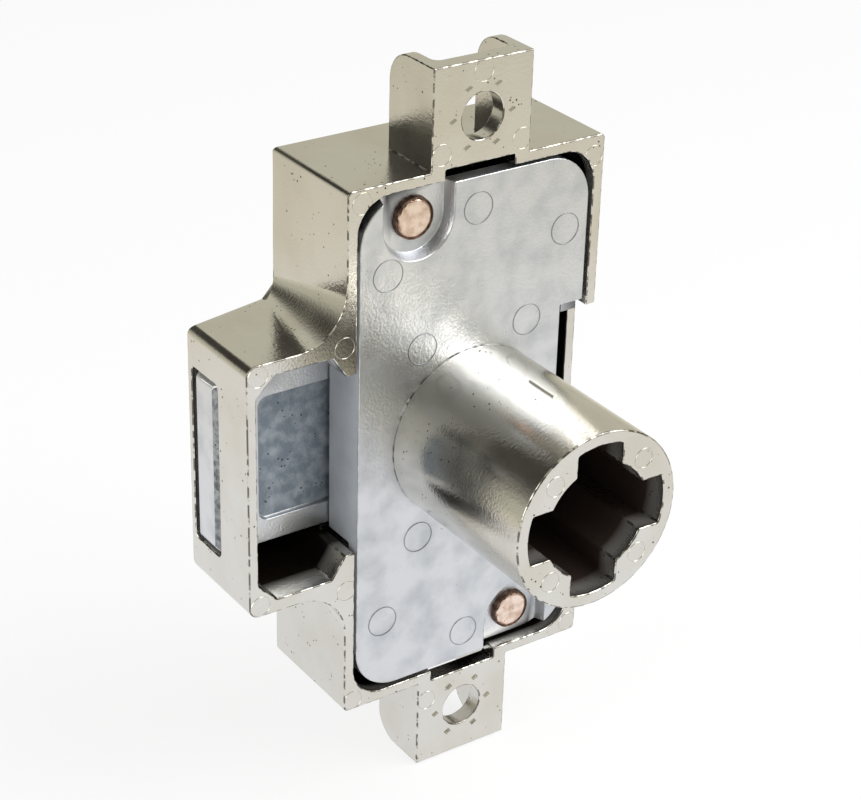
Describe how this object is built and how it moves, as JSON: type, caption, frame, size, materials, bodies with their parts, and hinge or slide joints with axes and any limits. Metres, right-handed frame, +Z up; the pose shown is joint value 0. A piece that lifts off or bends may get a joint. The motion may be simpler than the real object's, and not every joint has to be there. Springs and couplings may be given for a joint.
{
  "type": "cabinet lock",
  "caption": "Screw-on cabinet lock: cast case with a side nose, sliding dead bolt, slotted barrel for an exchangeable cylinder core and screw lugs.",
  "frame": {"origin": "on the barrel's axis, in the plane of the case's front rim, which lies against the door", "axes": "-Y along the barrel towards the key side, +Y into the cabinet, -X the way the bolt leaves, +Z up along the case"},
  "size_m": [0.0394, 0.0332, 0.0758],
  "materials": {
    "nickel_plate": "nickel-plated zinc die casting, semi-gloss with fine pits",
    "raw_zinc": "bare zinc die casting, blue-grey, mottled",
    "dark_zinc": "tarnished zinc die casting",
    "steel": "bright spring steel",
    "copper": "copper, formed over, with a dark ragged edge"
  },
  "bodies": {
    "housing": {"case": "nickel_plate", "base_plate": "raw_zinc", "barrel": "nickel_plate", "detent_spring": "steel", "rivet_upper": "copper", "rivet_lower": "copper"},
    "driver": {"driver": "dark_zinc", "crank_pin": "steel"},
    "bolt": {"bolt": "raw_zinc"}
  },
  "joints": [
    {"name": "driver_turn", "type": "hinge", "parent": "housing", "child": "driver", "pos_m": [0, 0, 0], "axis": [0, -1, 0], "range_deg": [0, 180]},
    {"name": "bolt_slide", "type": "slide", "parent": "housing", "child": "bolt", "axis": [-1, 0, 0], "range_m": [0, 0.01], "deforming": ["detent_spring"]}
  ],
  "couplings": [
    {"joint": "driver_turn", "follows": "bolt_slide", "rad_per_m": 314.15}
  ]
}
